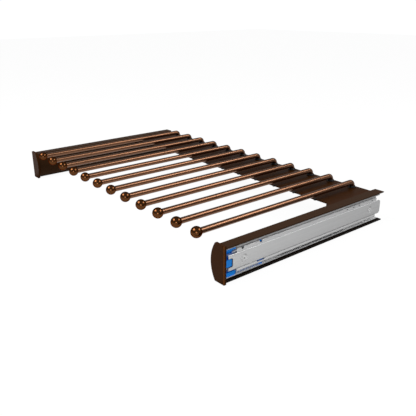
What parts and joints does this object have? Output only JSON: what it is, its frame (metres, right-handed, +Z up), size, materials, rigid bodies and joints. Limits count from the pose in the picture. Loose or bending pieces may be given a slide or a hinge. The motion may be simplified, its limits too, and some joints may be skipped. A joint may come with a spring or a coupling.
{
  "type": "pull-out trouser rack",
  "caption": "Pull-out trouser rack with ball-tipped rods on a rear crossbar, carried between two curved sides on full-extension ball-bearing slides.",
  "frame": {"origin": "bottom centre of the closed rack's bounding box", "axes": "+X to the right across the rods, +Y to the rear along the rods, +Z up; the rods' ball ends and the front plates face -Y, and the rack pulls out along -Y"},
  "size_m": [0.762, 0.4352, 0.0796],
  "materials": {
    "brown_aluminium": "satin brown anodised, extruded",
    "brown_moulding": "satin brown, moulded",
    "brown_steel": "satin brown powder coat on sheet steel",
    "copper_aluminium": "satin copper-brown anodised",
    "brown_gloss": "polished dark brown",
    "black_moulding": "black, moulded",
    "zinc_steel": "zinc-plated rolled sheet",
    "bright_steel": "bright steel",
    "blue_moulding": "blue, moulded",
    "white_moulding": "white, moulded"
  },
  "bodies": {
    "cabinet_rails": {"wall_rail_left": "zinc_steel", "wall_rail_right": "zinc_steel", "wall_bushes": "white_moulding"},
    "rack": {"side_profile_left": "brown_aluminium", "side_profile_right": "brown_aluminium", "front_plate_left": "brown_moulding", "front_plate_right": "brown_moulding", "crossbar": "brown_steel", "crossbar_bracket_left": "brown_moulding", "crossbar_bracket_right": "brown_moulding", "rod_1": "copper_aluminium", "rod_2": "copper_aluminium", "rod_3": "copper_aluminium", "rod_4": "copper_aluminium", "rod_5": "copper_aluminium", "rod_6": "copper_aluminium", "rod_7": "copper_aluminium", "rod_8": "copper_aluminium", "rod_9": "copper_aluminium", "rod_10": "copper_aluminium", "rod_11": "copper_aluminium", "rod_12": "copper_aluminium", "ball_tip_1": "brown_gloss", "ball_tip_2": "brown_gloss", "ball_tip_3": "brown_gloss", "ball_tip_4": "brown_gloss", "ball_tip_5": "brown_gloss", "ball_tip_6": "brown_gloss", "ball_tip_7": "brown_gloss", "ball_tip_8": "brown_gloss", "ball_tip_9": "brown_gloss", "ball_tip_10": "brown_gloss", "ball_tip_11": "brown_gloss", "ball_tip_12": "brown_gloss", "rod_collars": "black_moulding", "rod_buffers": "black_moulding", "rod_nuts": "zinc_steel", "bracket_screws": "zinc_steel", "slide_screws": "zinc_steel", "rack_rail_left": "zinc_steel", "rack_rail_right": "zinc_steel", "front_stop_left": "blue_moulding", "front_stop_right": "blue_moulding"},
    "middle_left": {"middle_rail_left": "zinc_steel", "middle_guides_left": "blue_moulding"},
    "outer_bearing_left": {"outer_cage_left": "bright_steel", "outer_balls_left": "bright_steel"},
    "inner_bearing_left": {"inner_cage_left": "bright_steel", "inner_balls_left": "bright_steel"},
    "middle_right": {"middle_rail_right": "zinc_steel", "middle_guides_right": "blue_moulding"},
    "outer_bearing_right": {"outer_cage_right": "bright_steel", "outer_balls_right": "bright_steel"},
    "inner_bearing_right": {"inner_cage_right": "bright_steel", "inner_balls_right": "bright_steel"}
  },
  "joints": [
    {"name": "rack_slide", "type": "slide", "parent": "cabinet_rails", "child": "rack", "axis": [0, -1, 0], "range_m": [0, 0.4]},
    {"name": "middle_slide_left", "type": "slide", "parent": "cabinet_rails", "child": "middle_left", "axis": [0, -1, 0], "range_m": [0, 0.2]},
    {"name": "outer_bearing_slide_left", "type": "slide", "parent": "cabinet_rails", "child": "outer_bearing_left", "axis": [0, -1, 0], "range_m": [0, 0.3]},
    {"name": "inner_bearing_slide_left", "type": "slide", "parent": "cabinet_rails", "child": "inner_bearing_left", "axis": [0, -1, 0], "range_m": [0, 0.1]},
    {"name": "middle_slide_right", "type": "slide", "parent": "cabinet_rails", "child": "middle_right", "axis": [0, -1, 0], "range_m": [0, 0.2]},
    {"name": "outer_bearing_slide_right", "type": "slide", "parent": "cabinet_rails", "child": "outer_bearing_right", "axis": [0, -1, 0], "range_m": [0, 0.3]},
    {"name": "inner_bearing_slide_right", "type": "slide", "parent": "cabinet_rails", "child": "inner_bearing_right", "axis": [0, -1, 0], "range_m": [0, 0.1]}
  ],
  "couplings": [
    {"joint": "middle_slide_left", "follows": "rack_slide", "ratio": 0.5},
    {"joint": "outer_bearing_slide_left", "follows": "rack_slide", "ratio": 0.75},
    {"joint": "inner_bearing_slide_left", "follows": "rack_slide", "ratio": 0.25},
    {"joint": "middle_slide_right", "follows": "rack_slide", "ratio": 0.5},
    {"joint": "outer_bearing_slide_right", "follows": "rack_slide", "ratio": 0.75},
    {"joint": "inner_bearing_slide_right", "follows": "rack_slide", "ratio": 0.25}
  ]
}
